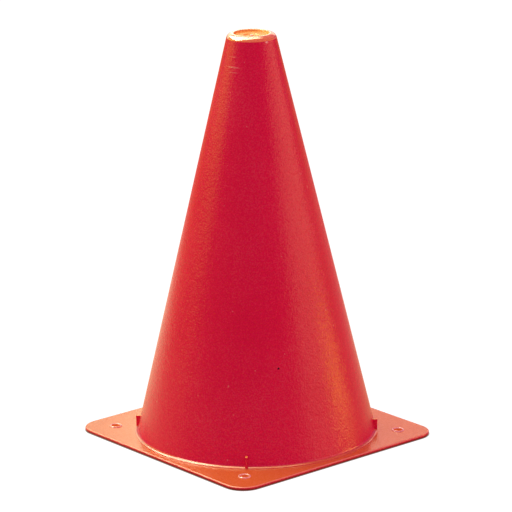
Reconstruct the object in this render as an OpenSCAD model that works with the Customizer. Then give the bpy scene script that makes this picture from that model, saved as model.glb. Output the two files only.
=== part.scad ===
// Small traffic cone: a thin hollow cone on a square base plate.
// The real object is one moulding, so every sub-part below meets its neighbours face to face.
// Millimetres, +Z up. The origin is the bottom centre of the base plate.

/* [Base plate] */
// Width of the square base plate
base_w = 144; // [141:0.5:160]
// Thickness of the base plate
base_t = 2; // [1.8:0.1:3]
// Radius of the plate's corners, seen from above
corner_r = 12; // [8:0.5:18]
// Radius of the plate's rounded upper edge
edge_r = 0.8; // [0.4:0.1:1.2]
// Radius of the plate's lower edge around the hollow of the cone
mouth_r = 1; // [0.5:0.1:1.5]

/* [Corner holes] */
// Distance between the centres of neighbouring corner holes
hole_spacing = 112.5; // [108:0.5:116]
// Diameter of each corner hole
hole_d = 5; // [3:0.1:6]
// Width of the half-round rim around each hole
rim_w = 1; // [0.6:0.1:1.4]

/* [Cone] */
// Height of the whole object
total_h = 228.6; // [200:0.1:260]
// Outer radius of the cone at the top face of the plate
foot_r = 66.8; // [64:0.1:67]
// Outer radius that the straight taper would have at the full height
tip_r = 13.2; // [12:0.1:15]
// Wall thickness of the cone, measured square to the wall
wall_t = 1.6; // [1.2:0.1:2]
// Radius of the concave fillet between the cone and the plate
fillet_r = 1.8; // [1:0.1:2]
// Height of the square step at the outer end of the fillet
fillet_step = 0.25; // [0.1:0.05:0.4]

/* [Stacking lugs] */
// Height of a lug above the plate
lug_h = 6.5; // [4:0.1:10]
// Thickness of a lug
lug_t = 1.3; // [0.8:0.1:2]

/* [Crown] */
// Height of the crown rim, above the end of the straight wall
crown_h = 4; // [3.6:0.1:6]
// Radius of the rounded shoulder
shoulder_r = 3.4; // [2.5:0.1:3.5]
// Radius of the recess at the top of the rim
recess_r = 9.8; // [9:0.1:10]
// Depth of the recess
recess_depth = 1.2; // [0.6:0.1:1.6]
// How far the side of the recess leans in over its depth
recess_draft = 0.5; // [0.2:0.1:0.8]
// Thickness of the disc that closes the cone
disc_t = 1.6; // [1.2:0.1:2]
// Radius of the shallow dimple in the disc
dimple_r = 4.2; // [3:0.1:5]
// Depth of the dimple
dimple_depth = 0.5; // [0.2:0.1:0.7]
// Diameter of the moulding gate's mark
gate_d = 2; // [1.2:0.1:3]
// Height of the gate's mark above the floor of the dimple
gate_h = 0.6; // [0.3:0.1:1]

/* [Hidden] */
$fn = 96;

// Depth by which a cutting shape passes through the face that it cuts
over = 1;
// Distance of a lug's outer face inside the end of the fillet
lug_inset = 0.2;
// Radius on the upper edge of the gate's mark
gate_edge_r = 0.35;

// The outer surface of the cone leans in by this angle
taper = atan((foot_r - tip_r) / (total_h - base_t));
// Radius of the outer and of the inner surface at height z
function outer_r(z) = foot_r - (z - base_t) * tan(taper);
function inner_r(z) = outer_r(z) - wall_t / cos(taper);

// Where the straight wall ends and the crown rim starts
shoulder_z = total_h - crown_h;
// Centre of the shoulder's arc: tangent to the taper and to the flat of the rim
shoulder_z0 = total_h - shoulder_r;
shoulder_x0 = outer_r(shoulder_z0) - shoulder_r / cos(taper);
// Heights of the crown disc
disc_top = total_h - recess_depth;
disc_bottom = disc_top - disc_t;
disc_r = recess_r - recess_draft;
// Centre of the fillet's arc: tangent to the top of the step and to the wall
fillet_z0 = base_t + fillet_step + fillet_r;
fillet_x0 = outer_r(fillet_z0) + fillet_r / cos(taper);
// Height at which the arc meets the wall, and where the foot ends
fillet_top = fillet_z0 - fillet_r * sin(taper);

// Repeats its children in the four corner directions
module at_corner_directions() {
    for (quarter = [0:3]) rotate([0, 0, 45 + 90 * quarter]) children();
}

// Repeats its children at the four corner holes
module at_holes() {
    for (x = [-1, 1], y = [-1, 1]) {
        translate([x * hole_spacing / 2, y * hole_spacing / 2, 0]) children();
    }
}

// Section of the plate of half width w, from its middle to its rounded upper edge
module plate_half_section(w) {
    square([w - edge_r, base_t]);
    square([w, base_t - edge_r]);
    translate([w - edge_r, base_t - edge_r]) circle(r = edge_r);
}

// Bar across the plate with rounded upper edges, between the corner arcs
module plate_bar() {
    rotate([90, 0, 0]) linear_extrude(height = base_w - 2 * corner_r, center = true) {
        plate_half_section(base_w / 2);
        mirror([1, 0]) plate_half_section(base_w / 2);
    }
}

module plate_corners() {
    inset = base_w / 2 - corner_r;
    for (x = [-1, 1], y = [-1, 1]) {
        translate([x * inset, y * inset, 0]) rotate_extrude() plate_half_section(corner_r);
    }
}

// What is cut off the lower edge of the mouth to round it
module mouth_edge_waste() {
    x0 = inner_r(mouth_r) + mouth_r / cos(taper);
    reach = mouth_r + over;
    difference() {
        polygon([[x0, mouth_r], [x0 - reach * cos(taper), mouth_r - reach * sin(taper)],
                 [x0 - reach, -over], [x0, -over]]);
        translate([x0, mouth_r]) circle(r = mouth_r);
    }
}

// The hollow's mouth: it follows the cone's inner surface and is rounded at the underside
module mouth() {
    rotate_extrude($fn = 192) {
        polygon([[0, -over], [inner_r(-over), -over],
                 [inner_r(base_t + over), base_t + over], [0, base_t + over]]);
        mouth_edge_waste();
    }
}

module base_plate() {
    color("orangered") difference() {
        union() {
            plate_bar();
            rotate([0, 0, 90]) plate_bar();
            plate_corners();
        }
        mouth();
        at_holes() translate([0, 0, -over]) cylinder(d = hole_d, h = base_t + 2 * over);
    }
}

// Half-round rims that stand on the plate around the holes
module hole_rims() {
    color("coral") at_holes() translate([0, 0, base_t]) rotate_extrude() {
        translate([(hole_d + rim_w) / 2, 0]) intersection() {
            circle(d = rim_w);
            translate([-rim_w, 0]) square([2 * rim_w, rim_w]);
        }
    }
}

// Section of the foot from radius r_in outwards: the end of the wall with its concave fillet.
// The lower corner on the outside is the small square step.
module foot_section(bottom_r_in, top_r_in) {
    difference() {
        polygon([[bottom_r_in, base_t], [fillet_x0, base_t], [fillet_x0, fillet_top],
                 [top_r_in, fillet_top]]);
        translate([fillet_x0, fillet_z0]) circle(r = fillet_r);
    }
}

// Lowest part of the wall, which spreads into the plate through the fillet
module cone_foot() {
    color("tomato") rotate_extrude($fn = 192) foot_section(inner_r(base_t), inner_r(fillet_top));
}

module cone_wall() {
    color("crimson") rotate_extrude($fn = 192) {
        polygon([[inner_r(fillet_top), fillet_top], [outer_r(fillet_top), fillet_top],
                 [outer_r(shoulder_z), shoulder_z], [inner_r(shoulder_z), shoulder_z]]);
    }
}

// Everything that a lug must leave free: the foot and the wall above it
module lug_clearance() {
    top_z = base_t + lug_h + over;
    rotate_extrude($fn = 192) {
        foot_section(0, 0);
        polygon([[0, fillet_top], [outer_r(fillet_top), fillet_top], [outer_r(top_z), top_z], [0, top_z]]);
    }
}

// Upright ribs that hold the next cone of a stack, one towards each corner of the plate
module stacking_lugs() {
    lug_out = fillet_x0 - lug_inset;
    lug_in = outer_r(base_t + lug_h) - over;
    color("firebrick") at_corner_directions() difference() {
        translate([lug_in, -lug_t / 2, base_t]) cube([lug_out - lug_in, lug_t, lug_h]);
        lug_clearance();
    }
}

// What is cut off the sharp corner of the rim's section to round the shoulder. Its lower side
// runs from the arc's centre out through the point where the arc meets the straight wall.
module shoulder_waste() {
    reach = shoulder_r + over;
    difference() {
        polygon([[shoulder_x0, shoulder_z0],
                 [shoulder_x0 + reach * cos(taper), shoulder_z0 + reach * sin(taper)],
                 [shoulder_x0 + reach, total_h + over], [shoulder_x0, total_h + over]]);
        translate([shoulder_x0, shoulder_z0]) circle(r = shoulder_r);
    }
}

// Ring with the rounded shoulder, around the recess
module crown_rim() {
    color("orange") rotate_extrude($fn = 192) difference() {
        polygon([[disc_r, disc_bottom], [inner_r(disc_bottom), disc_bottom],
                 [inner_r(shoulder_z), shoulder_z], [outer_r(shoulder_z), shoulder_z],
                 [outer_r(total_h), total_h], [recess_r, total_h], [disc_r, disc_top]]);
        shoulder_waste();
    }
}

// Disc that closes the cone, with its shallow dimple
module crown_disc() {
    color("darkorange") rotate_extrude($fn = 192) {
        polygon([[0, disc_bottom], [disc_r, disc_bottom], [disc_r, disc_top], [dimple_r, disc_top],
                 [dimple_r - dimple_depth, disc_top - dimple_depth], [0, disc_top - dimple_depth]]);
    }
}

// Round-edged stub left by the moulding gate
module gate_mark() {
    color("gold") translate([0, 0, disc_top - dimple_depth]) rotate_extrude() {
        square([gate_d / 2 - gate_edge_r, gate_h]);
        square([gate_d / 2, gate_h - gate_edge_r]);
        intersection() {
            translate([gate_d / 2 - gate_edge_r, gate_h - gate_edge_r]) circle(r = gate_edge_r);
            square([gate_d, gate_h]);
        }
    }
}

base_plate();
hole_rims();
cone_foot();
cone_wall();
stacking_lugs();
crown_rim();
crown_disc();
gate_mark();
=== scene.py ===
"""A small traffic cone in a white studio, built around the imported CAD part.

Every length is in metres, in the part's own frame: +Z up, the origin at the bottom centre.
"""

import math

import bpy
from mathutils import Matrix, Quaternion, Vector
from mathutils.geometry import delaunay_2d_cdt


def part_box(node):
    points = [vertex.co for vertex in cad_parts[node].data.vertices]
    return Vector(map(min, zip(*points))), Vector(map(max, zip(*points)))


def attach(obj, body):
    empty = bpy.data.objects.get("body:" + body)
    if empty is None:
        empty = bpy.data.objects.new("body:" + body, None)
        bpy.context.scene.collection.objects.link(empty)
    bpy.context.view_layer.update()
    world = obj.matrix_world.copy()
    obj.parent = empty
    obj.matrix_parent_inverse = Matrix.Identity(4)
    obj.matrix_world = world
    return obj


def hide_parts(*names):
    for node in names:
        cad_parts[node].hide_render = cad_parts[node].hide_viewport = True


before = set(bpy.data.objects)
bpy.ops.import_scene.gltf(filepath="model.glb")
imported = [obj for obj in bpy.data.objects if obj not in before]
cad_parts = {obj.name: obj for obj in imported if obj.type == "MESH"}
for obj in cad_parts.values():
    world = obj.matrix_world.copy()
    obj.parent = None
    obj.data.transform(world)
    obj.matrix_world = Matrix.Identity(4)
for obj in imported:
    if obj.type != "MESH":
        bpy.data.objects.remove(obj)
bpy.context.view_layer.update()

MM = 0.001
BODY = "root"

# ---------------------------------------------------------------- sizes read from the CAD part

disc_lo, disc_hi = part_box("crown_disc")
plate_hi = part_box("base_plate")[1]
foot_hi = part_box("cone_foot")[1]
wall_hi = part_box("cone_wall")[1]
rim_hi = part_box("crown_rim")[1]
gate_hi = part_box("gate_mark")[1]

PLATE_HALF = plate_hi.x
PLATE_TOP = plate_hi.z
FOOT_TOP = foot_hi.z
WALL_TOP = wall_hi.z
TOTAL_H = rim_hi.z
DISC_TOP = disc_hi.z
DISC_BOTTOM = disc_lo.z
DISC_R = disc_hi.x
GATE_TOP = gate_hi.z
GATE_R = gate_hi.x
LUG_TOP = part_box("stacking_lugs")[1].z

# The taper, from the widest and narrowest rings of the wall
TAPER_TAN = (wall_hi.x - rim_hi.x) / (WALL_TOP - FOOT_TOP)
TAPER = math.atan(TAPER_TAN)

# ---------------------------------------------------------------- sizes inside the CAD nodes

CORNER_R = 12 * MM
EDGE_R = 0.8 * MM
BOTTOM_EDGE_R = 0.5 * MM
MOUTH_R = 1 * MM
HOLE_OFFSET = 56.25 * MM
HOLE_R = 2.5 * MM
RIM_TUBE_R = 0.5 * MM
WALL_T = 1.6 * MM
FILLET_R = 1.8 * MM
FILLET_STEP = 0.25 * MM
STEP_EDGE_R = 0.1 * MM
LUG_T = 1.3 * MM
LUG_INSET = 0.2 * MM
# How far a lug's inner side is sunk into the wall, and the radius of its rounded edges
LUG_SINK = 0.5 * MM
LUG_EDGE_R = 0.3 * MM
SHOULDER_R = 3.4 * MM
RECESS_R = 9.8 * MM
RECESS_EDGE_R = 0.3 * MM
DIMPLE_R = 4.2 * MM
DIMPLE_DEPTH = 0.5 * MM
# The slope of the dimple starts this far outside its radius
DIMPLE_FLARE = 0.2 * MM
GATE_EDGE_R = 0.35 * MM

# Points around a full turn, on the cone and on small round features
AROUND = 256
AROUND_SMALL = 64
# A point this close to the axis of a section lies on it
ON_AXIS = 1e-9


def outer_r(z):
    """Radius of the outer surface at height z."""
    return wall_hi.x - (z - FOOT_TOP) * TAPER_TAN


def inner_r(z):
    """Radius of the inner surface at height z."""
    return outer_r(z) - WALL_T / math.cos(TAPER)


# ---------------------------------------------------------------- building meshes


def turns_of(around):
    """(cosine, sine) of equal steps around a full turn."""
    turns = []
    for j in range(around):
        a = 2 * math.pi * j / around
        turns.append((math.cos(a), math.sin(a)))
    return turns


class Shell:
    """A mesh in the making: vertices, faces and one normal for each corner of a face."""

    def __init__(self):
        self.verts = []
        self.faces = []
        self.normals = []

    def ring(self, points):
        """Adds the points, and gives their numbers."""
        first = len(self.verts)
        self.verts.extend(points)
        return list(range(first, len(self.verts)))

    def face(self, corners, corner_normals):
        self.faces.append(list(corners))
        self.normals.extend(corner_normals)

    def band(self, low, high, low_normals, high_normals):
        """Quads between two rings, the material on the inside when they go round anticlockwise."""
        count = len(low)
        for j in range(count):
            k = (j + 1) % count
            self.face(
                [low[j], low[k], high[k], high[j]],
                [low_normals[j], low_normals[k], high_normals[k], high_normals[j]],
            )

    def geometry(self):
        return self.verts, self.faces, self.normals


def straight(start, end, steps=1):
    """Straight run of a section, walked with the material on the left."""
    run = math.hypot(end[0] - start[0], end[1] - start[1])
    normal = ((end[1] - start[1]) / run, (start[0] - end[0]) / run)
    points = []
    for i in range(steps + 1):
        t = i / steps
        points.append((start[0] + t * (end[0] - start[0]), start[1] + t * (end[1] - start[1])))
    return points, [normal] * (steps + 1)


def arc(centre, radius, start, end, steps):
    """Arc of a section, in degrees: outward going if end > start, hollow if end < start."""
    side = 1 if end > start else -1
    points = []
    normals = []
    for i in range(steps + 1):
        a = math.radians(start + (end - start) * i / steps)
        points.append((centre[0] + radius * math.cos(a), centre[1] + radius * math.sin(a)))
        normals.append((side * math.cos(a), side * math.sin(a)))
    return points, normals


def revolve(spans, around, centre=(0, 0), closed=True):
    """Vertices, faces and corner normals of a section turned about a vertical axis."""
    verts = []
    faces = []
    normals = []
    turns = turns_of(around)

    def ring(point):
        first = len(verts)
        if point[0] < ON_AXIS:
            verts.append((centre[0], centre[1], point[1]))
            return [first] * around
        for c, s in turns:
            verts.append((centre[0] + point[0] * c, centre[1] + point[0] * s, point[1]))
        return list(range(first, first + around))

    first_ring = ring(spans[0][0][0])
    low = first_ring
    for number, (points, section_normals) in enumerate(spans):
        for i in range(len(points) - 1):
            last = closed and number == len(spans) - 1 and i == len(points) - 2
            high = first_ring if last else ring(points[i + 1])
            n0 = section_normals[i]
            n1 = section_normals[i + 1]
            for j in range(around):
                k = (j + 1) % around
                c0, s0 = turns[j]
                c1, s1 = turns[k]
                corners = [
                    (low[j], (n0[0] * c0, n0[0] * s0, n0[1])),
                    (low[k], (n0[0] * c1, n0[0] * s1, n0[1])),
                    (high[k], (n1[0] * c1, n1[0] * s1, n1[1])),
                    (high[j], (n1[0] * c0, n1[0] * s0, n1[1])),
                ]
                if low[j] == low[k]:
                    del corners[0]
                elif high[j] == high[k]:
                    del corners[3]
                faces.append([v for v, _ in corners])
                normals.extend(n for _, n in corners)
            low = high
    return verts, faces, normals


def joined(parts):
    """Several (vertices, faces, normals) as one."""
    verts = []
    faces = []
    normals = []
    for part_verts, part_faces, part_normals in parts:
        first = len(verts)
        verts.extend(part_verts)
        faces.extend([[first + v for v in face] for face in part_faces])
        normals.extend(part_normals)
    return verts, faces, normals


def piece(name, geometry, material, node, areas=()):
    """A smooth-shaded mesh that stands for a CAD node. areas: (material, test of a face's centre)."""
    verts, faces, normals = geometry
    mesh = bpy.data.meshes.new(name)
    mesh.from_pydata(verts, [], faces)
    mesh.polygons.foreach_set("use_smooth", [True] * len(faces))
    mesh.normals_split_custom_set([Vector(n).normalized() for n in normals])
    mesh.materials.append(material)
    for number, (area_material, inside) in enumerate(areas, 1):
        mesh.materials.append(area_material)
        for polygon in mesh.polygons:
            if inside(polygon.center):
                polygon.material_index = number
    mesh.update()
    shown = bpy.data.objects.new(name, mesh)
    bpy.context.scene.collection.objects.link(shown)
    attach(shown, BODY)
    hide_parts(node)
    return shown


# ---------------------------------------------------------------- base plate

CORNER_STEPS = 24
SIDE_STEPS = 40
LOWER_EDGE_STEPS = 4
UPPER_EDGE_STEPS = 10
MOUTH_STEPS = 8
# Triangular grid on the flat faces: its pitch, the gap between rows as a share of the pitch, and
# its distance from the outline and from the openings
GRID = 2.6 * MM
GRID_ROW = 0.866
GRID_EDGE_GAP = 2.2 * MM
GRID_OPENING_GAP = 0.9 * MM
# A triangle whose middle is within this share of an opening's radius lies in the opening
INSIDE_OPENING = 0.9995
SMALLEST_EDGE = 1e-9


def outline_rays():
    """(anchor, direction) of each outline point: the plate's edge is CORNER_R outside the anchor."""
    inner = PLATE_HALF - CORNER_R
    corners = [(inner, inner), (-inner, inner), (-inner, -inner), (inner, -inner)]
    rays = []
    for number, (x, y) in enumerate(corners):
        for i in range(CORNER_STEPS + 1):
            a = math.radians(90 * number + 90 * i / CORNER_STEPS)
            rays.append(((x, y), (math.cos(a), math.sin(a))))
        next_x, next_y = corners[(number + 1) % 4]
        direction = rays[-1][1]
        for i in range(1, SIDE_STEPS):
            t = i / SIDE_STEPS
            rays.append(((x + t * (next_x - x), y + t * (next_y - y)), direction))
    return rays


def edge_distance(p):
    """Distance from p to the plate's outline, positive inside."""
    inner = PLATE_HALF - CORNER_R
    dx = abs(p[0]) - inner
    dy = abs(p[1]) - inner
    outside = math.hypot(max(dx, 0), max(dy, 0))
    return CORNER_R - outside - min(max(dx, dy), 0)


def plate_edge(shell):
    """Outer edge of the plate, from the underside up. Gives its lowest and its highest ring."""
    profile = []
    for i in range(LOWER_EDGE_STEPS + 1):
        rise = math.radians(-90 + 90 * i / LOWER_EDGE_STEPS)
        inset = BOTTOM_EDGE_R * (1 - math.cos(rise))
        profile.append((inset, BOTTOM_EDGE_R * (1 + math.sin(rise)), rise))
    for i in range(UPPER_EDGE_STEPS + 1):
        rise = math.radians(90 * i / UPPER_EDGE_STEPS)
        inset = EDGE_R * (1 - math.cos(rise))
        profile.append((inset, PLATE_TOP - EDGE_R * (1 - math.sin(rise)), rise))
    rays = outline_rays()
    rings = []
    slopes = []
    for inset, z, rise in profile:
        reach = CORNER_R - inset
        flat = math.cos(rise)
        rings.append(shell.ring([(p[0] + reach * d[0], p[1] + reach * d[1], z) for p, d in rays]))
        slopes.append([(flat * d[0], flat * d[1], math.sin(rise)) for _, d in rays])
    for i in range(len(rings) - 1):
        shell.band(rings[i], rings[i + 1], slopes[i], slopes[i + 1])
    return rings[0], rings[-1]


def mouth_section():
    """The mouth of the hollow from the top face down, rounded at the underside."""
    x0 = inner_r(MOUTH_R) + MOUTH_R / math.cos(TAPER)
    section = [(inner_r(PLATE_TOP), PLATE_TOP, (-math.cos(TAPER), -math.sin(TAPER)))]
    for i in range(MOUTH_STEPS + 1):
        a = math.pi + TAPER + (math.pi / 2 - TAPER) * i / MOUTH_STEPS
        n = (math.cos(a), math.sin(a))
        section.append((x0 + MOUTH_R * n[0], MOUTH_R + MOUTH_R * n[1], n))
    return section


def hole_section():
    """A corner hole from the top face down, with a small round at the underside."""
    section = [(HOLE_R, PLATE_TOP, (-1, 0))]
    for i in range(LOWER_EDGE_STEPS + 1):
        a = math.pi + math.pi / 2 * i / LOWER_EDGE_STEPS
        n = (math.cos(a), math.sin(a))
        section.append((HOLE_R + BOTTOM_EDGE_R * (1 + n[0]), BOTTOM_EDGE_R * (1 + n[1]), n))
    return section


def round_opening(shell, centre, section, around):
    """Side of a round opening. section: (radius, z, normal). Gives its highest and its lowest ring."""
    x, y = centre
    turns = turns_of(around)
    rings = []
    slopes = []
    for r, z, n in section:
        rings.append(shell.ring([(x + r * c, y + r * s, z) for c, s in turns]))
        slopes.append([(n[0] * c, n[0] * s, n[1]) for c, s in turns])
    for i in range(len(rings) - 1):
        shell.band(rings[i], rings[i + 1], slopes[i], slopes[i + 1])
    return rings[0], rings[-1]


def grid_points(circles):
    """Points on the plate that keep clear of its outline and of the openings."""
    points = []
    reach = int(PLATE_HALF / GRID) + 2
    for row in range(-reach, reach + 1):
        for column in range(-reach, reach + 1):
            p = Vector(((column + 0.5 * (row % 2)) * GRID, row * GRID * GRID_ROW))
            if edge_distance(p) < GRID_EDGE_GAP:
                continue
            if any((p - Vector(c)).length < r + GRID_OPENING_GAP for c, r in circles):
                continue
            points.append(p)
    return points


def flat_face(shell, loops, circles, z, top):
    """Top or bottom face of the plate. loops: its outline and openings; circles: the openings."""
    points = []
    owners = []
    edges = []
    for loop in loops:
        first = len(points)
        for number, v in enumerate(loop):
            points.append(Vector(shell.verts[v][:2]))
            owners.append(v)
            edges.append((first + number, first + (number + 1) % len(loop)))
    inner_points = grid_points(circles)
    points.extend(inner_points)
    owners.extend([None] * len(inner_points))

    made = delaunay_2d_cdt(points, edges, [], 0, SMALLEST_EDGE)
    made_verts = made[0]
    made_faces = made[2]
    made_origins = made[3]
    numbers = []
    for p, origins in zip(made_verts, made_origins):
        owner = next((owners[o] for o in origins if owners[o] is not None), None)
        if owner is None:
            owner = len(shell.verts)
            shell.verts.append((p[0], p[1], z))
        numbers.append(owner)
    for face in made_faces:
        middle = sum((Vector(made_verts[v]) for v in face), Vector((0, 0))) / len(face)
        if edge_distance(middle) < 0:
            continue
        if any((middle - Vector(c)).length < r * INSIDE_OPENING for c, r in circles):
            continue
        a, b, c = (Vector(made_verts[v]) for v in face)
        anticlockwise = (b - a).cross(c - a) > 0
        loop = [numbers[v] for v in face]
        if anticlockwise != top:
            loop.reverse()
        shell.face(loop, [(0, 0, 1 if top else -1)] * len(face))


def base_plate_geometry():
    shell = Shell()
    outline_bottom, outline_top = plate_edge(shell)
    openings = [((0, 0), mouth_section(), AROUND)]
    for x in (-HOLE_OFFSET, HOLE_OFFSET):
        for y in (-HOLE_OFFSET, HOLE_OFFSET):
            openings.append(((x, y), hole_section(), AROUND_SMALL))
    top_loops = [outline_top]
    top_circles = []
    bottom_loops = [outline_bottom]
    bottom_circles = []
    for centre, section, around in openings:
        highest, lowest = round_opening(shell, centre, section, around)
        top_loops.append(highest)
        top_circles.append((centre, section[0][0]))
        bottom_loops.append(lowest)
        bottom_circles.append((centre, section[-1][0]))
    flat_face(shell, top_loops, top_circles, PLATE_TOP, True)
    flat_face(shell, bottom_loops, bottom_circles, 0.0, False)
    return shell.geometry()


# ---------------------------------------------------------------- rims, foot, wall


def hole_rims_geometry():
    middle = HOLE_R + RIM_TUBE_R
    parts = []
    for x in (-1, 1):
        for y in (-1, 1):
            spans = [
                arc((middle, PLATE_TOP), RIM_TUBE_R, 0, 180, steps=12),
                straight((middle - RIM_TUBE_R, PLATE_TOP), (middle + RIM_TUBE_R, PLATE_TOP)),
            ]
            parts.append(revolve(spans, AROUND_SMALL, (x * HOLE_OFFSET, y * HOLE_OFFSET)))
    return joined(parts)


# Centre of the fillet's arc
FILLET_Z0 = PLATE_TOP + FILLET_STEP + FILLET_R
FILLET_X0 = outer_r(FILLET_Z0) + FILLET_R / math.cos(TAPER)


def cone_foot_geometry():
    step_z = PLATE_TOP + FILLET_STEP - STEP_EDGE_R
    fillet_end = 180 + math.degrees(TAPER)
    spans = [
        straight((inner_r(PLATE_TOP), PLATE_TOP), (FILLET_X0, PLATE_TOP)),
        straight((FILLET_X0, PLATE_TOP), (FILLET_X0, step_z)),
        arc((FILLET_X0 - STEP_EDGE_R, step_z), STEP_EDGE_R, 0, 90, steps=4),
        arc((FILLET_X0, FILLET_Z0), FILLET_R, 270, fillet_end, steps=16),
        straight((outer_r(FOOT_TOP), FOOT_TOP), (inner_r(FOOT_TOP), FOOT_TOP)),
        straight((inner_r(FOOT_TOP), FOOT_TOP), (inner_r(PLATE_TOP), PLATE_TOP)),
    ]
    return revolve(spans, AROUND)


def cone_wall_geometry():
    spans = [
        straight((inner_r(FOOT_TOP), FOOT_TOP), (outer_r(FOOT_TOP), FOOT_TOP)),
        straight((outer_r(FOOT_TOP), FOOT_TOP), (outer_r(WALL_TOP), WALL_TOP), steps=64),
        straight((outer_r(WALL_TOP), WALL_TOP), (inner_r(WALL_TOP), WALL_TOP)),
        straight((inner_r(WALL_TOP), WALL_TOP), (inner_r(FOOT_TOP), FOOT_TOP), steps=32),
    ]
    return revolve(spans, AROUND)


# ---------------------------------------------------------------- stacking lugs


LUG_STEPS = 4
LUG_OUT = FILLET_X0 - LUG_INSET


def lug_outline():
    """A lug seen from its side, from its foot over its top: (distance from the axis, z, normal)."""
    outline = [(LUG_OUT, PLATE_TOP, (1, 0))]
    for i in range(LUG_STEPS + 1):
        a = math.radians(90 * i / LUG_STEPS)
        r = LUG_OUT - LUG_EDGE_R + LUG_EDGE_R * math.cos(a)
        z = LUG_TOP - LUG_EDGE_R + LUG_EDGE_R * math.sin(a)
        outline.append((r, z, (math.cos(a), math.sin(a))))
    outline.append((outer_r(LUG_TOP) - LUG_SINK, LUG_TOP, (0, 1)))
    return outline


def lug_row():
    """Points across a lug, rounded at both sides: (offset, inset, sideways and outward normal)."""
    row = []
    for side in (-1, 1):
        for i in range(LUG_STEPS + 1):
            turned = i if side == 1 else LUG_STEPS - i
            a = math.radians(90 * turned / LUG_STEPS)
            offset = side * (LUG_T / 2 - LUG_EDGE_R + LUG_EDGE_R * math.sin(a))
            inset = LUG_EDGE_R * (1 - math.cos(a))
            row.append((offset, inset, side * math.sin(a), math.cos(a)))
    return row


def lug_geometry(degrees):
    """One upright rib with rounded edges, at that angle about Z."""
    angle = math.radians(degrees)
    along = Vector((math.cos(angle), math.sin(angle), 0))
    across = Vector((-math.sin(angle), math.cos(angle), 0))
    up = Vector((0, 0, 1))
    row = lug_row()
    shell = Shell()
    rings = []
    slopes = []
    for r, z, n in lug_outline():
        points = []
        slope = []
        for offset, inset, sideways, outward in row:
            points.append(along * (r - inset * n[0]) + across * offset + up * (z - inset * n[1]))
            slope.append(along * n[0] * outward + across * sideways + up * (n[1] * outward))
        rings.append(shell.ring([tuple(p) for p in points]))
        slopes.append(slope)
    for i in range(len(rings) - 1):
        for j in range(len(row) - 1):
            shell.face(
                [rings[i][j], rings[i][j + 1], rings[i + 1][j + 1], rings[i + 1][j]],
                [slopes[i][j], slopes[i][j + 1], slopes[i + 1][j + 1], slopes[i + 1][j]],
            )
    # The flat sides, the foot and the back, which is sunk into the wall
    back = []
    for offset in (row[0][0], row[-1][0]):
        back.append(tuple(along * (outer_r(PLATE_TOP) - LUG_SINK) + across * offset + up * PLATE_TOP))
    back_left, back_right = shell.ring(back)
    left = [ring[0] for ring in rings]
    right = [ring[-1] for ring in reversed(rings)]
    foot = rings[0][::-1]
    top = rings[-1]
    shell.face([back_left] + left, [-across] * (len(left) + 1))
    shell.face([back_right] + right, [across] * (len(right) + 1))
    shell.face([back_left, back_right] + foot, [-up] * (len(foot) + 2))
    shell.face([back_right, back_left] + top, [-along] * (len(top) + 2))
    return shell.geometry()


def stacking_lugs_geometry():
    """One lug towards each corner of the plate."""
    return joined([lug_geometry(45 + 90 * quarter) for quarter in range(4)])


# ---------------------------------------------------------------- crown

# Centre of the shoulder's arc
SHOULDER_Z0 = TOTAL_H - SHOULDER_R
SHOULDER_X0 = outer_r(SHOULDER_Z0) - SHOULDER_R / math.cos(TAPER)


def crown_rim_geometry():
    taper_deg = math.degrees(TAPER)
    arc_end = (SHOULDER_X0 + SHOULDER_R * math.cos(TAPER), SHOULDER_Z0 + SHOULDER_R * math.sin(TAPER))
    lean = math.atan2(RECESS_R - DISC_R, TOTAL_H - DISC_TOP)
    lean_deg = math.degrees(lean)
    # Centre of the small round between the flat of the rim and the side of the recess
    edge_z = TOTAL_H - RECESS_EDGE_R
    edge_x = RECESS_R - (TOTAL_H - edge_z) * math.tan(lean) + RECESS_EDGE_R / math.cos(lean)
    side_x = edge_x - RECESS_EDGE_R * math.cos(lean)
    side_z = edge_z + RECESS_EDGE_R * math.sin(lean)
    spans = [
        straight((DISC_R, DISC_BOTTOM), (inner_r(DISC_BOTTOM), DISC_BOTTOM)),
        straight((inner_r(DISC_BOTTOM), DISC_BOTTOM), (inner_r(WALL_TOP), WALL_TOP)),
        straight((inner_r(WALL_TOP), WALL_TOP), (outer_r(WALL_TOP), WALL_TOP)),
        straight((outer_r(WALL_TOP), WALL_TOP), arc_end, steps=4),
        arc((SHOULDER_X0, SHOULDER_Z0), SHOULDER_R, taper_deg, 90, steps=24),
        straight((SHOULDER_X0, TOTAL_H), (edge_x, TOTAL_H)),
        arc((edge_x, edge_z), RECESS_EDGE_R, 90, 180 - lean_deg, steps=8),
        straight((side_x, side_z), (DISC_R, DISC_TOP), steps=2),
        straight((DISC_R, DISC_TOP), (DISC_R, DISC_BOTTOM)),
    ]
    return revolve(spans, AROUND)


def crown_disc_geometry():
    floor = DISC_TOP - DIMPLE_DEPTH
    flare_r = DIMPLE_R + DIMPLE_FLARE
    floor_r = DIMPLE_R - DIMPLE_DEPTH
    spans = [
        straight((0, DISC_BOTTOM), (DISC_R, DISC_BOTTOM)),
        straight((DISC_R, DISC_BOTTOM), (DISC_R, DISC_TOP)),
        straight((DISC_R, DISC_TOP), (flare_r, DISC_TOP), steps=3),
        straight((flare_r, DISC_TOP), (floor_r, floor), steps=2),
        straight((floor_r, floor), (0, floor), steps=3),
    ]
    return revolve(spans, AROUND, closed=False)


def gate_mark_geometry():
    floor = DISC_TOP - DIMPLE_DEPTH
    spans = [
        straight((0, floor), (GATE_R, floor)),
        straight((GATE_R, floor), (GATE_R, GATE_TOP - GATE_EDGE_R)),
        arc((GATE_R - GATE_EDGE_R, GATE_TOP - GATE_EDGE_R), GATE_EDGE_R, 0, 90, steps=6),
        straight((GATE_R - GATE_EDGE_R, GATE_TOP), (0, GATE_TOP)),
    ]
    return revolve(spans, AROUND_SMALL, closed=False)


# ---------------------------------------------------------------- material


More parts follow.
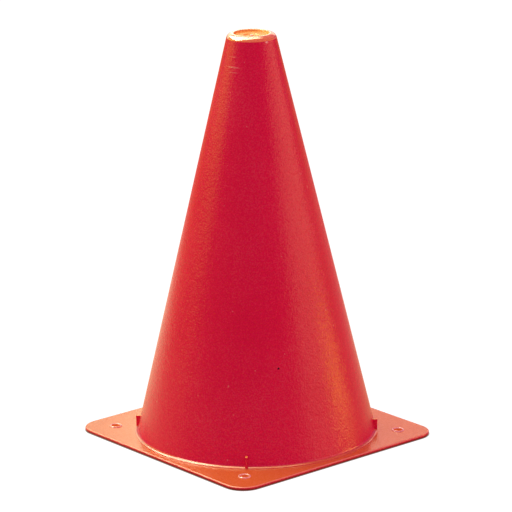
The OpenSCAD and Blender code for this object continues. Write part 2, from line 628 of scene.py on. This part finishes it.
class Graph:
    """Short ways to add nodes to a material."""

    def __init__(self, name):
        self.material = bpy.data.materials.new(name)
        self.material.use_nodes = True
        self.tree = self.material.node_tree
        self.shader = self.tree.nodes["Principled BSDF"]

    def add(self, kind, **settings):
        made = self.tree.nodes.new(kind)
        for key, value in settings.items():
            setattr(made, key, value)
        return made

    def put(self, value, socket):
        """Links a socket, or sets a plain value."""
        if isinstance(value, bpy.types.NodeSocket):
            self.tree.links.new(value, socket)
        else:
            socket.default_value = value

    def maths(self, operation, *values):
        """Maths on sockets or plain numbers."""
        made = self.add("ShaderNodeMath", operation=operation)
        for value, socket in zip(values, made.inputs):
            self.put(value, socket)
        return made.outputs[0]

    def vector(self, operation, *values, output="Vector"):
        """Vector maths on sockets or plain vectors."""
        made = self.add("ShaderNodeVectorMath", operation=operation)
        for value, socket in zip(values, made.inputs):
            self.put(value, socket)
        return made.outputs[output]

    def noise(self, place, scale, detail=2.0):
        made = self.add("ShaderNodeTexNoise")
        self.put(place, made.inputs["Vector"])
        self.put(scale, made.inputs["Scale"])
        self.put(detail, made.inputs["Detail"])
        self.put(0.5, made.inputs["Roughness"])
        return made.outputs["Fac"]

    def remap(self, value, low, high, to_low=0.0, to_high=1.0):
        """Smooth step from to_low at low to to_high at high."""
        made = self.add("ShaderNodeMapRange", interpolation_type="SMOOTHSTEP")
        for number, item in enumerate((value, low, high, to_low, to_high)):
            self.put(item, made.inputs[number])
        return made.outputs[0]

    def mix(self, factor, a, b):
        """Colour a where the factor is 0, colour b where it is 1."""
        made = self.add("ShaderNodeMix", data_type="RGBA")
        self.put(factor, made.inputs[0])
        self.put(a, made.inputs[6])
        self.put(b, made.inputs[7])
        return made.outputs[2]


# The crimson of upright faces against the lighter orange where a face looks up is painted light: the
# orange stands in for warm light from above
CRIMSON = (0.78, 0.008, 0.070, 1)
TOP_LIT_ORANGE = (0.77, 0.26, 0.036, 1)
PALE = (0.85, 0.42, 0.30, 1)
DEEP = (0.50, 0.003, 0.030, 1)
# Painted light: the crown's lighter, more orange colours, on its top and on its sides
CROWN_TOP_LIT = (0.95, 0.46, 0.09, 1)
CROWN_SIDE_LIT = (1.0, 0.42, 0.03, 1)
# Painted light: a light amber for the lit tops of the lugs and the recess in the crown
LIT_AMBER = (1.0, 0.62, 0.06, 1)
# Painted light: the lighter sides of the holes and the mouth
HOLE_SIDE_LIT = (0.95, 0.30, 0.06, 1)
# Pale chafed plastic for one mark on the wall, and a painted highlight on the hole rims and the gate
# stub
CHAFED_AND_HIGHLIGHT = (1.0, 0.72, 0.45, 1)
# Painted light: the lugs' upright faces are lighter than the wall's, to take away their shade
LUG_RED_LIT = (0.80, 0.010, 0.070, 1)
# Painted shade for the lower part of the plate's edge
EDGE_SHADE = (0.17, 0.004, 0.010, 1)
INK = (0.02, 0.005, 0.008, 1)
# Painted highlight on the rounded upper edge of the plate
EDGE_HIGHLIGHT = (1.0, 0.52, 0.24, 1)
SPECULAR_TINT = (1.0, 0.85, 0.75, 1)

PLASTIC_IOR = 1.5
COAT_ROUGHNESS = 0.12

# Z part of the normal: where a face counts as upright, and where as facing up; the change of colour
# between them is painted light from above
UPRIGHT = 0.30
FACING_UP = 0.95

# Scales of the noises, in features per metre
CLOUD_SCALE = 18.0
DRAW_SCALE = 300.0
GRAIN_SCALE = 1300.0
SPECK_SCALE = 420.0
PEEL_SCALE = 1000.0
WAVE_SCALE = 300.0
# The raw noises mostly stay between these values
NOISE_LOW = 0.3
NOISE_HIGH = 0.7
DRAW_LOW = 0.35
DRAW_HIGH = 0.65
# The draw lines: radius that their noise is wrapped to, and how much it runs along the cone
DRAW_RADIUS = 0.06
DRAW_STRETCH = 0.10

# Shares of the noises in the colour and in the roughness
CLOUD_SHADE = 0.04
GRAIN_SHADE = 0.09
DRAW_SHADE = 0.006
DARKENING = 2.0
CLOUD_ROUGHNESS = 0.02
DRAW_ROUGHNESS = 0.004
WAVE_HEIGHT = 0.6

# Dust specks: noise value where they start and where they are full, and their strength
SPECK_START = 0.855
SPECK_FULL = 0.88
SPECK_STRENGTH = 0.5

# Half width at which the plate's outer edge starts, as against its holes and mouth
EDGE_ZONE_START = PLATE_HALF - 6 * MM
EDGE_ZONE_FULL = PLATE_HALF - 5 * MM
# Painted highlight on the rounded upper edge: Z part of the normal where it starts, is full, fades
# again and is gone
EDGE_HIGHLIGHT_START = 0.45
EDGE_HIGHLIGHT_FULL = 0.75
EDGE_HIGHLIGHT_FADE = 0.975
EDGE_HIGHLIGHT_END = 0.999
EDGE_HIGHLIGHT_STRENGTH = 0.75
# Painted shade on the lower part of the edge: height where it is full and where it is gone, and how
# ragged its limit is
EDGE_SHADE_FULL_Z = 0.5 * MM
EDGE_SHADE_END_Z = 1.6 * MM
EDGE_SHADE_STRENGTH = 0.95
EDGE_SHADE_RAGGED = 0.1 * MM


def upright_noise(g, place):
    """Noise wrapped round the cone's axis and stretched along it: draw lines of the mould."""
    around = g.vector("NORMALIZE", g.vector("MULTIPLY", place, (1, 1, 0)))
    spread = g.vector("MULTIPLY", around, (DRAW_RADIUS, DRAW_RADIUS, DRAW_RADIUS))
    along = g.vector("MULTIPLY", place, (0, 0, DRAW_STRETCH))
    return g.noise(g.vector("ADD", spread, along), DRAW_SCALE)


# Marks on the wall: degrees about Z, height, half length around, half height, strength, colour
MARKS = [
    (-77, 212.5 * MM, 4.8 * MM, 0.45 * MM, 0.6, PALE),
    (-80, 218 * MM, 3.6 * MM, 0.35 * MM, 0.25, PALE),
    (-76, 209.8 * MM, 3.4 * MM, 0.35 * MM, 0.35, PALE),
    (-4, 225.6 * MM, 1.0 * MM, 0.8 * MM, 1.0, CHAFED_AND_HIGHLIGHT),
    (-27, 54.2 * MM, 0.7 * MM, 0.7 * MM, 1.0, INK),
    (-52, 30 * MM, 0.5 * MM, 0.5 * MM, 0.35, PALE),
    (-73, 38 * MM, 0.5 * MM, 0.5 * MM, 0.35, PALE),
]
# Where a mark starts to fade and where it is gone, in half sizes, and how broken its edge is
MARK_FADE = 0.4
MARK_END = 1.2
MARK_BROKEN = 0.3


def mark_mask(g, place, grain, mark):
    """Broken, soft-edged patch that lies around the wall at one angle and height."""
    angle, height, reach, half_height, strength, _ = mark
    a = math.radians(angle)
    centre = Vector((outer_r(height) * math.cos(a), outer_r(height) * math.sin(a), height))
    turned = g.add("ShaderNodeVectorRotate", rotation_type="Z_AXIS")
    g.put(g.vector("SUBTRACT", place, centre), turned.inputs["Vector"])
    g.put(-a, turned.inputs["Angle"])
    shrunk = g.vector("DIVIDE", turned.outputs[0], (reach + half_height, reach, half_height))
    far = g.vector("LENGTH", shrunk, output="Value")
    far = g.maths("ADD", far, g.maths("MULTIPLY", grain, MARK_BROKEN))
    return g.remap(far, MARK_FADE, MARK_END, strength, 0.0)


def weighted_sum(g, parts):
    """Sum of (socket, weight)."""
    total = None
    for socket, weight in parts:
        share = g.maths("MULTIPLY", socket, weight)
        total = share if total is None else g.maths("ADD", total, share)
    return total


def plastic(
    name,
    peel,
    roughness=0.21,
    coat_ior=0.0,
    side=CRIMSON,
    up=TOP_LIT_ORANGE,
    is_plate=False,
    marks=(),
):
    """Moulded plastic: one colour on the upright faces, and another where it faces up, which is painted
    light from above.

    peel: height of the orange-peel bumps. coat_ior: index of a clear coat, or 0 for no coat.
    is_plate: a painted highlight on the upper rim and painted shade on the lower part of the outer
    edge, and a lighter colour in the holes and the mouth, which is painted light.
    """
    g = Graph(name)
    place = g.add("ShaderNodeTexCoord").outputs["Object"]
    normal = g.add("ShaderNodeSeparateXYZ")
    g.put(g.add("ShaderNodeNewGeometry").outputs["Normal"], normal.inputs[0])
    where = g.add("ShaderNodeSeparateXYZ")
    g.put(place, where.inputs[0])
    tilt = normal.outputs[2]

    if is_plate:
        # Painted light: the sides of the holes and of the mouth are lighter than the outer edge
        x = g.maths("ABSOLUTE", where.outputs[0])
        y = g.maths("ABSOLUTE", where.outputs[1])
        outer_edge = g.remap(g.maths("MAXIMUM", x, y), EDGE_ZONE_START, EDGE_ZONE_FULL)
        side = g.mix(outer_edge, HOLE_SIDE_LIT, side)
    # Painted light: the colour turns lighter and more orange where the face looks up
    base = g.mix(g.remap(tilt, UPRIGHT, FACING_UP), side, up)
    if is_plate:
        # Painted highlight: the rounded upper edge of the plate is pale, where it would catch the light
        turned_up = g.remap(tilt, EDGE_HIGHLIGHT_START, EDGE_HIGHLIGHT_FULL)
        short_of_flat = g.remap(tilt, EDGE_HIGHLIGHT_FADE, EDGE_HIGHLIGHT_END, EDGE_HIGHLIGHT_STRENGTH, 0.0)
        edge_highlight = g.maths("MULTIPLY", g.maths("MULTIPLY", turned_up, short_of_flat), outer_edge)
        base = g.mix(edge_highlight, base, EDGE_HIGHLIGHT)

    # Slow drift of the pigment, fine grain and faint draw lines along the cone, each from -1 to 1
    cloud = g.remap(g.noise(place, CLOUD_SCALE, 3.0), NOISE_LOW, NOISE_HIGH, -1.0, 1.0)
    grain = g.remap(g.noise(place, GRAIN_SCALE), NOISE_LOW, NOISE_HIGH, -1.0, 1.0)
    draw = g.remap(upright_noise(g, place), DRAW_LOW, DRAW_HIGH, -1.0, 1.0)
    shade = weighted_sum(g, [(cloud, CLOUD_SHADE), (grain, GRAIN_SHADE), (draw, DRAW_SHADE)])
    base = g.mix(g.maths("MAXIMUM", shade, 0.0), base, PALE)
    darker = g.maths("MULTIPLY", shade, -DARKENING)
    base = g.mix(g.maths("MAXIMUM", darker, 0.0), base, DEEP)

    # Scattered dust specks
    speck = g.remap(g.noise(place, SPECK_SCALE, 0.0), SPECK_START, SPECK_FULL)
    base = g.mix(g.maths("MULTIPLY", speck, SPECK_STRENGTH), base, PALE)
    if is_plate:
        # Painted shade along the lower part of the plate's edge, near the floor
        level = g.maths("ADD", where.outputs[2], g.maths("MULTIPLY", grain, EDGE_SHADE_RAGGED))
        lower_edge_shade = g.remap(level, EDGE_SHADE_FULL_Z, EDGE_SHADE_END_Z, EDGE_SHADE_STRENGTH, 0.0)
        base = g.mix(g.maths("MULTIPLY", lower_edge_shade, outer_edge), base, EDGE_SHADE)
    for mark in marks:
        base = g.mix(mark_mask(g, place, grain, mark), base, mark[-1])
    g.put(base, g.shader.inputs["Base Color"])

    uneven = weighted_sum(g, [(cloud, CLOUD_ROUGHNESS), (draw, DRAW_ROUGHNESS)])
    g.put(g.maths("ADD", uneven, roughness), g.shader.inputs["Roughness"])
    g.put(PLASTIC_IOR, g.shader.inputs["IOR"])
    g.put(SPECULAR_TINT, g.shader.inputs["Specular Tint"])
    g.put(1.0 if coat_ior else 0.0, g.shader.inputs["Coat Weight"])
    g.put(COAT_ROUGHNESS, g.shader.inputs["Coat Roughness"])
    g.put(coat_ior or PLASTIC_IOR, g.shader.inputs["Coat IOR"])

    waves = g.maths("MULTIPLY", g.noise(place, WAVE_SCALE, 1.0), WAVE_HEIGHT)
    bump = g.add("ShaderNodeBump")
    g.put(1.0, bump.inputs["Strength"])
    g.put(peel, bump.inputs["Distance"])
    g.put(g.maths("ADD", g.noise(place, PEEL_SCALE), waves), bump.inputs["Height"])
    g.put(bump.outputs[0], g.shader.inputs["Normal"])
    return g.material


# Height of the orange peel: highest on the wall, lower on the plate and the small pieces
PEEL_WALL = 0.2 * MM
PEEL_PLATE = 0.1 * MM
PEEL_CROWN = 0.05 * MM
PEEL_SMALL = 0.03 * MM

wall_plastic = plastic("wall_plastic", peel=PEEL_WALL, marks=MARKS)
plate_plastic = plastic("plate_plastic", peel=PEEL_PLATE, roughness=0.17, is_plate=True)
# Painted highlight: the hole rims and the gate stub are pale all over
rim_highlight_plastic = plastic("rim_highlight_plastic", coat_ior=1.5, side=CHAFED_AND_HIGHLIGHT, up=CHAFED_AND_HIGHLIGHT, peel=PEEL_SMALL)
foot_plastic = plastic("foot_plastic", coat_ior=1.35, peel=PEEL_SMALL)
# Painted light: a lighter red on the lugs' sides and light amber on their tops
lug_plastic = plastic("lug_plastic", side=LUG_RED_LIT, up=LIT_AMBER, peel=PEEL_SMALL)
# Painted light: the crown is lighter and more orange than the wall
crown_plastic = plastic("crown_plastic", coat_ior=1.9, side=CROWN_SIDE_LIT, up=CROWN_TOP_LIT, peel=PEEL_CROWN)
# Painted light: the recess in the crown is light amber all over
cap_plastic = plastic("cap_plastic", roughness=0.4, side=LIT_AMBER, up=LIT_AMBER, peel=PEEL_CROWN)

# The wall's colour runs up onto the shoulder to this height
COLOUR_LIMIT_Z = SHOULDER_Z0 + 0.3 * SHOULDER_R


def is_under_shoulder(centre):
    return centre.z < COLOUR_LIMIT_Z


def is_in_recess(centre):
    return centre.z > DISC_TOP and centre.xy.length < RECESS_R


CROWN_AREAS = [(wall_plastic, is_under_shoulder), (cap_plastic, is_in_recess)]

piece("base_plate_shell", base_plate_geometry(), plate_plastic, "base_plate")
piece("hole_rim_rings", hole_rims_geometry(), rim_highlight_plastic, "hole_rims")
piece("foot_ring", cone_foot_geometry(), foot_plastic, "cone_foot")
piece("cone_shell", cone_wall_geometry(), wall_plastic, "cone_wall")
piece("lug_ribs", stacking_lugs_geometry(), lug_plastic, "stacking_lugs")
piece("crown_ring", crown_rim_geometry(), crown_plastic, "crown_rim", CROWN_AREAS)
piece("crown_cap", crown_disc_geometry(), cap_plastic, "crown_disc")
piece("gate_stub", gate_mark_geometry(), rim_highlight_plastic, "gate_mark")


# ---------------------------------------------------------------- camera

CAMERA_AZIMUTH = 49.87
CAMERA_ELEVATION = 15.62
CAMERA_DISTANCE = 1.741
CAMERA_LENS = 221.6
CAMERA_ROLL = -0.73
CAMERA_SENSOR = 36
# The camera looks at a point near the axis, moved down and to the right in its own view
PIVOT_Z = 0.11555
AIM_DOWN = 0.01251
AIM_RIGHT = 0.00095


def camera_axes(azimuth, elevation):
    """Back, right and up directions of a camera that stands at that azimuth and elevation."""
    a = math.radians(azimuth)
    e = math.radians(elevation)
    back = Vector((math.sin(a) * math.cos(e), -math.cos(a) * math.cos(e), math.sin(e)))
    right = Vector((math.cos(a), math.sin(a), 0))
    return back, right, back.cross(right)


def add_camera():
    data = bpy.data.cameras.new("camera")
    data.lens = CAMERA_LENS
    data.sensor_width = CAMERA_SENSOR
    data.clip_start = 0.05
    data.clip_end = 100
    camera = bpy.data.objects.new("camera", data)
    bpy.context.scene.collection.objects.link(camera)
    back, right, up = camera_axes(CAMERA_AZIMUTH, CAMERA_ELEVATION)
    pivot = Vector((0, 0, PIVOT_Z))
    place = pivot + back * CAMERA_DISTANCE
    aim = pivot - up * AIM_DOWN + right * AIM_RIGHT
    turn = (aim - place).to_track_quat("-Z", "Y") @ Quaternion((0, 0, 1), math.radians(CAMERA_ROLL))
    camera.location = place
    camera.rotation_mode = "QUATERNION"
    camera.rotation_quaternion = turn
    bpy.context.scene.camera = camera


add_camera()

# ---------------------------------------------------------------- studio

# Point on the axis that the lights face
LIGHT_AIM = Vector((0, 0, 0.1))


def toward(side, elevation):
    """Direction from the cone: side degrees to the right of the camera, at that elevation."""
    return camera_axes(CAMERA_AZIMUTH + side, elevation)[0]


def softbox(name, side, elevation, distance, width, height, radiance):
    """Rectangular soft light that faces the cone."""
    data = bpy.data.lights.new(name, "AREA")
    data.shape = "RECTANGLE"
    data.size = width
    data.size_y = height
    strongest = max(radiance)
    data.energy = strongest * math.pi * width * height
    data.color = [part / strongest for part in radiance]
    light = bpy.data.objects.new(name, data)
    bpy.context.scene.collection.objects.link(light)
    way = toward(side, elevation)
    light.location = LIGHT_AIM + way * distance
    light.rotation_mode = "QUATERNION"
    light.rotation_quaternion = (-way).to_track_quat("-Z", "Y")
    light.visible_camera = False
    return light


FLOOR_HALF = 8.0
FLOOR_TONE = (0.04, 0.06)
FLOOR_ROUGHNESS = 0.7
FLOOR_SPECULAR = 0.2
FLOOR_SCALE = 3.0
# Painted contact shadow: the floor is darker this close to the plate: openness and glow at its darkest
# and at its whitest
CONTACT_REACH = 2.5 * MM
CONTACT_OPENNESS = (0.4, 0.75)
CONTACT_GLOW = (0.1, 1.0)
# What the floor sends to the cone: an even dim light, and pools of light
FLOOR_DIM = (0.61, 0.26, 0.02)
# Pools: degrees right of the camera, distance, inner and outer radius, radiance
FLOOR_POOLS = [
    (-140, 0.32, 0.12, 0.48, (0.33, 0.57, 0.34)),
    (165, 0.80, 0.45, 1.10, (0.22, 0, 0.19)),
]


def add_floor():
    """Floor that glows white for the camera, and lights the cone with a dim tint and pools of light."""
    mesh = bpy.data.meshes.new("floor")
    h = FLOOR_HALF
    mesh.from_pydata([(-h, -h, 0), (h, -h, 0), (h, h, 0), (-h, h, 0)], [], [(0, 1, 2, 3)])
    g = Graph("floor_white")
    place = g.add("ShaderNodeTexCoord").outputs["Object"]
    tone = g.remap(g.noise(place, FLOOR_SCALE), NOISE_LOW, NOISE_HIGH, *FLOOR_TONE)
    paint = g.add("ShaderNodeCombineColor")
    for socket in paint.inputs:
        g.put(tone, socket)
    g.put(paint.outputs[0], g.shader.inputs["Base Color"])
    g.put(FLOOR_ROUGHNESS, g.shader.inputs["Roughness"])
    g.put(FLOOR_SPECULAR, g.shader.inputs["Specular IOR Level"])
    g.put((1, 1, 1, 1), g.shader.inputs["Emission Color"])
    # Painted contact shadow: the glow that the camera sees dims near the plate
    near = g.add("ShaderNodeAmbientOcclusion")
    g.put(CONTACT_REACH, near.inputs["Distance"])
    white = g.remap(near.outputs["AO"], *CONTACT_OPENNESS, *CONTACT_GLOW)
    g.put(white, g.shader.inputs["Emission Strength"])

    total = FLOOR_DIM
    for side, distance, inner, outer, radiance in FLOOR_POOLS:
        gap = g.vector("DISTANCE", place, toward(side, 0) * distance, output="Value")
        share = g.vector("MULTIPLY", radiance, g.remap(gap, inner, outer, 1.0, 0.0))
        total = g.vector("ADD", total, share)
    glow = g.add("ShaderNodeEmission")
    g.put(total, glow.inputs["Color"])
    choose = g.add("ShaderNodeMixShader")
    g.put(g.add("ShaderNodeLightPath").outputs["Is Camera Ray"], choose.inputs[0])
    g.put(glow.outputs[0], choose.inputs[1])
    g.put(g.shader.outputs[0], choose.inputs[2])
    g.put(choose.outputs[0], g.tree.nodes["Material Output"].inputs["Surface"])
    mesh.materials.append(g.material)
    floor = bpy.data.objects.new("floor", mesh)
    bpy.context.scene.collection.objects.link(floor)


WORLD_TINT = (1, 0.15, 0.68, 1)
WORLD_STRENGTH = 0.4


def add_world():
    """White for the camera, and a dim even tint for everything else."""
    world = bpy.data.worlds.new("studio")
    bpy.context.scene.world = world
    world.use_nodes = True
    tree = world.node_tree
    background = tree.nodes["Background"]
    background.inputs["Color"].default_value = (1, 1, 1, 1)
    background.inputs["Strength"].default_value = 1.0
    dim = tree.nodes.new("ShaderNodeBackground")
    dim.inputs["Color"].default_value = WORLD_TINT
    dim.inputs["Strength"].default_value = WORLD_STRENGTH
    rays = tree.nodes.new("ShaderNodeLightPath")
    choose = tree.nodes.new("ShaderNodeMixShader")
    tree.links.new(rays.outputs["Is Camera Ray"], choose.inputs[0])
    tree.links.new(dim.outputs[0], choose.inputs[1])
    tree.links.new(background.outputs[0], choose.inputs[2])
    tree.links.new(choose.outputs[0], tree.nodes["World Output"].inputs["Surface"])


# Name, degrees right of the camera, elevation, distance, width, height, radiance in red, green, blue
SOFTBOXES = [
    ("key", -128, 66, 1.6, 1.25, 0.85, (2.1, 1.4, 1.25)),
    ("back_left", -157, 20, 1.2, 1.0, 0.45, (0.83, 1.43, 0.82)),
    ("back", 172, 18, 1.2, 0.6, 0.4, (1.35, 1.04, 0.64)),
    ("left_glow", -100, 14, 1.4, 1.2, 0.4, (1.15, 1.3, 0)),
    ("right_card", 80, 8, 1.5, 1.6, 0.5, (1.85, 1.15, 0.6)),
]
# The same for lights that fill without a reflection of their own
FILLS = [
    ("fill_warm", -112, 34, 1.5, 1.0, 0.6, (2.7, 2.7, 1.6)),
    ("top", -30, 74, 1.7, 1.3, 1.3, (1.2, 0.75, 0.7)),
    ("fill_front", 10, 45, 1.7, 1.3, 0.8, (0.05, 0.15, 0.85)),
    ("fill_left", -60, 25, 1.5, 1.0, 0.5, (0.25, 0.3, 0.25)),
    ("fill_right", 70, 40, 1.5, 1.2, 0.6, (1, 0.2, 0.95)),
]
# The same for lights that only add a reflection
GLINTS = [
    ("right_low", 91, -11, 0.35, 0.11, 0.05, (4.0, 2.9, 0.0)),
    ("shoulder_glint", -112, 50, 1.3, 1.7, 0.8, (8.5, 8.4, 6)),
    ("crown_glint", -140, 76, 1.5, 1.4, 1.0, (6.5, 7.4, 4.6)),
]

add_floor()
add_world()
for settings in SOFTBOXES:
    softbox(*settings)
for settings in FILLS:
    softbox(*settings).visible_glossy = False
for settings in GLINTS:
    softbox(*settings).visible_diffuse = False

bpy.context.scene.view_settings.view_transform = "Standard"
